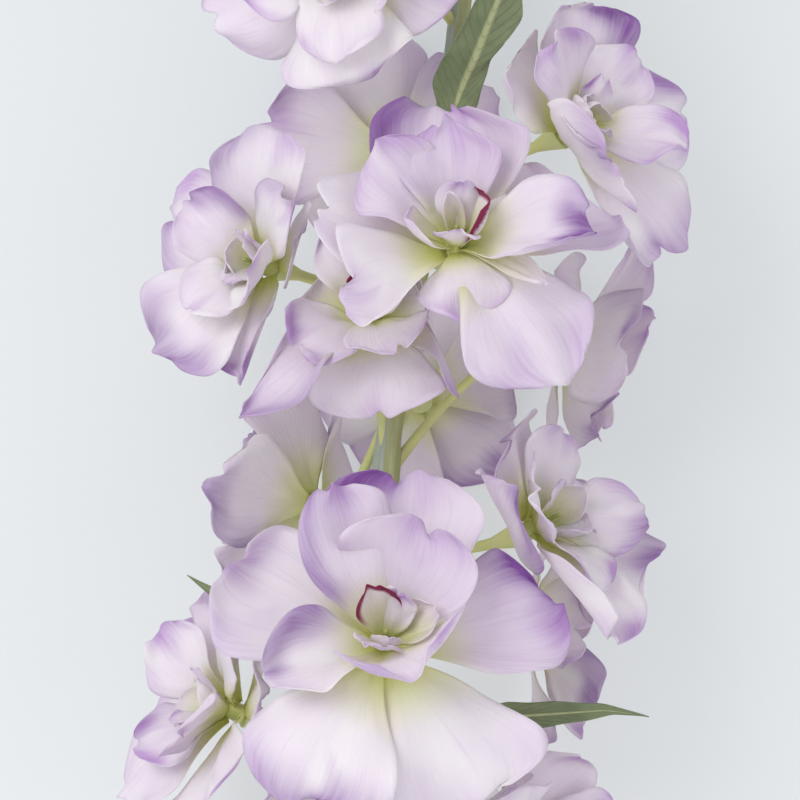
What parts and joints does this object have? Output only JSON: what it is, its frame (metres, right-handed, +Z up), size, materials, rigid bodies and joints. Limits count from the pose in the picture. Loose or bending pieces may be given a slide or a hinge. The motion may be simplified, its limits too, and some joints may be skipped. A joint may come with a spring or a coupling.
{
  "type": "delphinium flower spike",
  "caption": "Cut flower spike lying on its side: a stem with stalked double florets of ruffled lilac petals, narrow leaves between them and closed buds at the tip.",
  "frame": {"origin": "middle of the footprint, on the surface that the spike lies on", "axes": "+Y along the spike from its cut end to its tip, +Z up from the surface, +X across"},
  "size_m": [0.1345, 0.463, 0.0984],
  "materials": {
    "petal": "matt, soft and thin, cream at the middle and lilac at the edge",
    "stem": "ridged, grey-green on one side and olive on the other",
    "bud": "matt, pale green at the foot and lilac at the tip",
    "leaf": "matt green with a pale rib"
  },
  "bodies": {
    "root": {"bud_1": "bud", "bud_2": "bud", "bud_3": "bud", "bud_4": "bud", "bud_5": "bud", "bud_6": "bud", "bud_7": "bud", "bud_8": "bud", "bud_9": "bud", "floret_a": "petal", "floret_b": "petal", "floret_c": "petal", "floret_d": "petal", "floret_e": "petal", "floret_f": "petal", "floret_g": "petal", "floret_h": "petal", "floret_i": "petal", "floret_j": "petal", "floret_k": "petal", "floret_l": "petal", "floret_m": "petal", "floret_n": "petal", "floret_o": "petal", "floret_p": "petal", "floret_q": "petal", "floret_r": "petal", "floret_s": "petal", "floret_t": "petal", "floret_u": "petal", "floret_v": "petal", "leaf_1": "leaf", "leaf_2": "leaf", "leaf_3": "leaf", "leaf_4": "leaf", "leaf_5": "leaf", "leaf_6": "leaf", "leaf_7": "leaf", "stem": "stem"}
  },
  "joints": []
}
